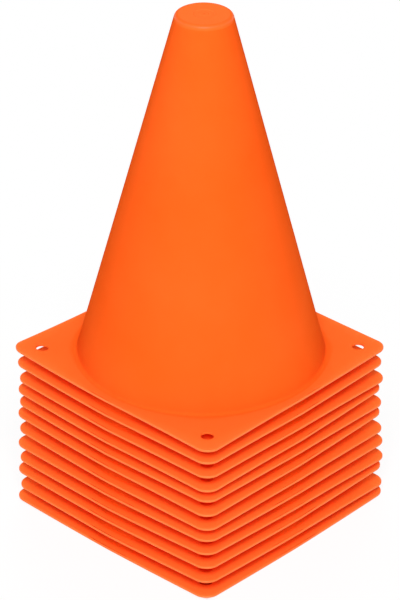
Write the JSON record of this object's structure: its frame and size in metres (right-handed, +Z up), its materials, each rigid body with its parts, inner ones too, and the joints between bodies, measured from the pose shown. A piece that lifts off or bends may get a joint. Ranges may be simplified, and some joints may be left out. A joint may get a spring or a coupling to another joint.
{
  "type": "sports marker cone",
  "caption": "Nested set of hollow plastic marker cones with square bases and corner peg holes; each cone lifts off the one below.",
  "frame": {"origin": "on the ground under the centre of the lowest base", "axes": "+Z up along the axis of the cones; X and Y along the sides of the lowest base"},
  "size_m": [0.14, 0.14, 0.2788],
  "materials": {
    "cone_plastic": "satin orange low-density polyethylene"
  },
  "bodies": {
    "cone_01": {"cone_01": "cone_plastic"},
    "cone_02": {"cone_02": "cone_plastic"},
    "cone_03": {"cone_03": "cone_plastic"},
    "cone_04": {"cone_04": "cone_plastic"},
    "cone_05": {"cone_05": "cone_plastic"},
    "cone_06": {"cone_06": "cone_plastic"},
    "cone_07": {"cone_07": "cone_plastic"},
    "cone_08": {"cone_08": "cone_plastic"},
    "cone_09": {"cone_09": "cone_plastic"},
    "cone_10": {"cone_10": "cone_plastic"},
    "cone_11": {"cone_11": "cone_plastic"},
    "cone_12": {"cone_12": "cone_plastic"}
  },
  "joints": [
    {"name": "cone_02_lift", "type": "slide", "parent": "cone_01", "child": "cone_02", "axis": [0, 0, 1], "range_m": [0, 0.19]},
    {"name": "cone_03_lift", "type": "slide", "parent": "cone_02", "child": "cone_03", "axis": [0, 0, 1], "range_m": [0, 0.19]},
    {"name": "cone_04_lift", "type": "slide", "parent": "cone_03", "child": "cone_04", "axis": [0, 0, 1], "range_m": [0, 0.19]},
    {"name": "cone_05_lift", "type": "slide", "parent": "cone_04", "child": "cone_05", "axis": [0, 0, 1], "range_m": [0, 0.19]},
    {"name": "cone_06_lift", "type": "slide", "parent": "cone_05", "child": "cone_06", "axis": [0, 0, 1], "range_m": [0, 0.19]},
    {"name": "cone_07_lift", "type": "slide", "parent": "cone_06", "child": "cone_07", "axis": [0, 0, 1], "range_m": [0, 0.19]},
    {"name": "cone_08_lift", "type": "slide", "parent": "cone_07", "child": "cone_08", "axis": [0, 0, 1], "range_m": [0, 0.19]},
    {"name": "cone_09_lift", "type": "slide", "parent": "cone_08", "child": "cone_09", "axis": [0, 0, 1], "range_m": [0, 0.19]},
    {"name": "cone_10_lift", "type": "slide", "parent": "cone_09", "child": "cone_10", "axis": [0, 0, 1], "range_m": [0, 0.19]},
    {"name": "cone_11_lift", "type": "slide", "parent": "cone_10", "child": "cone_11", "axis": [0, 0, 1], "range_m": [0, 0.19]},
    {"name": "cone_12_lift", "type": "slide", "parent": "cone_11", "child": "cone_12", "axis": [0, 0, 1], "range_m": [0, 0.19]}
  ]
}
